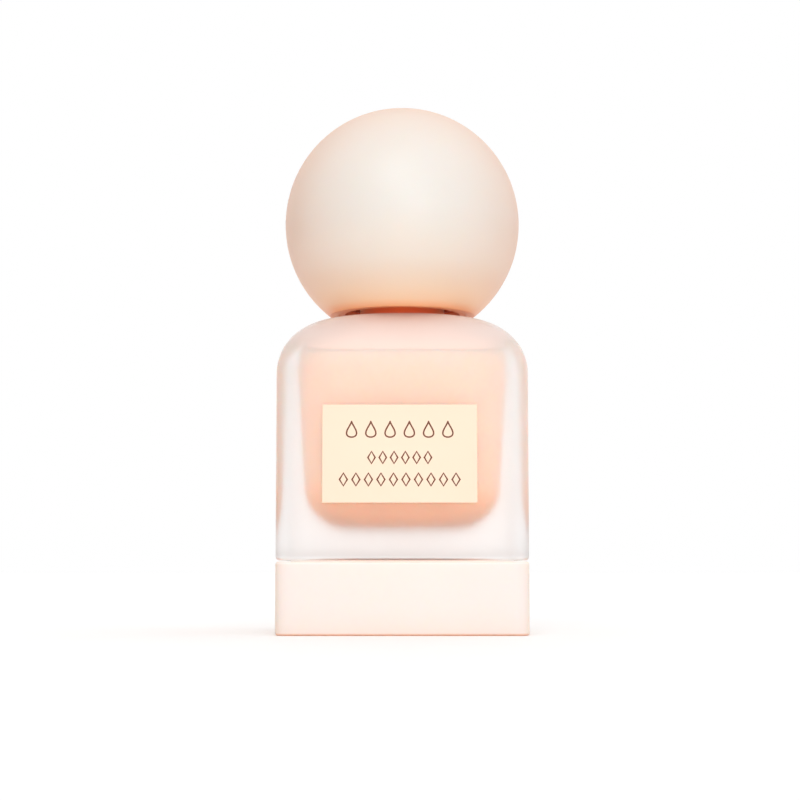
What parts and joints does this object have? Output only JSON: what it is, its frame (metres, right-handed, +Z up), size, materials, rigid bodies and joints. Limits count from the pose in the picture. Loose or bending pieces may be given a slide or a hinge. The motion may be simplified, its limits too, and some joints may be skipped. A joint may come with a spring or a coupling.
{
  "type": "foundation bottle",
  "caption": "Square frosted-glass foundation bottle on a low plinth, with a screw-on treatment pump under a pull-off ball cap.",
  "frame": {"origin": "middle of the plinth's underside, on the surface the bottle stands on", "axes": "+Z up along the pump's axis; -Y is the front, which carries the label; +X to the right of a viewer facing the label"},
  "size_m": [0.044, 0.0445, 0.0972],
  "materials": {
    "plinth_plastic": "satin cream",
    "plinth_inner_plastic": "as moulded, cream",
    "adhesive": "clear-white double-sided sheet",
    "frosted_glass": "acid-frosted outside, polished inside",
    "foundation": "creamy liquid, peach beige",
    "label": "satin cream plate with brown print",
    "gasket_foam": "white polyethylene foam",
    "pump_plastic": "natural polypropylene",
    "tube_plastic": "natural polyethylene",
    "steel": "bright stainless",
    "seal_plastic": "white polyethylene",
    "closure_plastic": "as moulded",
    "collar_metal": "satin champagne anodised",
    "actuator_plastic": "satin cream",
    "liner_plastic": "as moulded, cream",
    "cap_plastic": "soft satin cream paint"
  },
  "bodies": {
    "bottle": {"plinth_shell": "plinth_plastic", "plinth_closing_plate": "plinth_inner_plastic", "plinth_adhesive": "adhesive", "glass_bottle": "frosted_glass", "foundation_liquid": "foundation", "label_adhesive": "adhesive", "label_plate": "label"},
    "pump": {"neck_gasket": "gasket_foam", "pump_housing": "pump_plastic", "housing_retainer": "pump_plastic", "dip_tube": "tube_plastic", "return_spring": "steel"},
    "closure": {"screw_closure": "closure_plastic", "collar_sleeve": "collar_metal"},
    "cap": {"cap_liner": "liner_plastic", "cap_bowl": "cap_plastic", "cap_dome": "cap_plastic"},
    "plunger": {"piston": "seal_plastic"},
    "head": {"pump_stem": "pump_plastic", "actuator": "actuator_plastic", "nozzle_insert": "seal_plastic"},
    "valve_ball": {"check_ball": "steel"}
  },
  "joints": [
    {"name": "pump_lift", "type": "slide", "parent": "bottle", "child": "pump", "axis": [0, 0, 1], "range_m": [0, 0.00476]},
    {"name": "closure_turn", "type": "hinge", "parent": "pump", "child": "closure", "pos_m": [0, 0, 0.0676], "axis": [0, 0, 1], "range_deg": [0, 540]},
    {"name": "cap_lift", "type": "slide", "parent": "closure", "child": "cap", "axis": [0, 0, 1], "range_m": [0, 0.045]},
    {"name": "pump_stroke", "type": "slide", "parent": "pump", "child": "plunger", "axis": [0, 0, -1], "range_m": [0, 0.004], "stiffness_N_per_m": 2000, "springref_m": -0.0035, "deforming": ["return_spring"]},
    {"name": "head_turn", "type": "hinge", "parent": "plunger", "child": "head", "pos_m": [0, 0, 0.085], "axis": [0, 0, 1], "continuous": true},
    {"name": "ball_lift", "type": "slide", "parent": "pump", "child": "valve_ball", "axis": [0, 0, 1], "range_m": [0, 0.0009]}
  ],
  "couplings": [
    {"joint": "pump_lift", "follows": "closure_turn", "m_per_rad": 0.00050532}
  ]
}
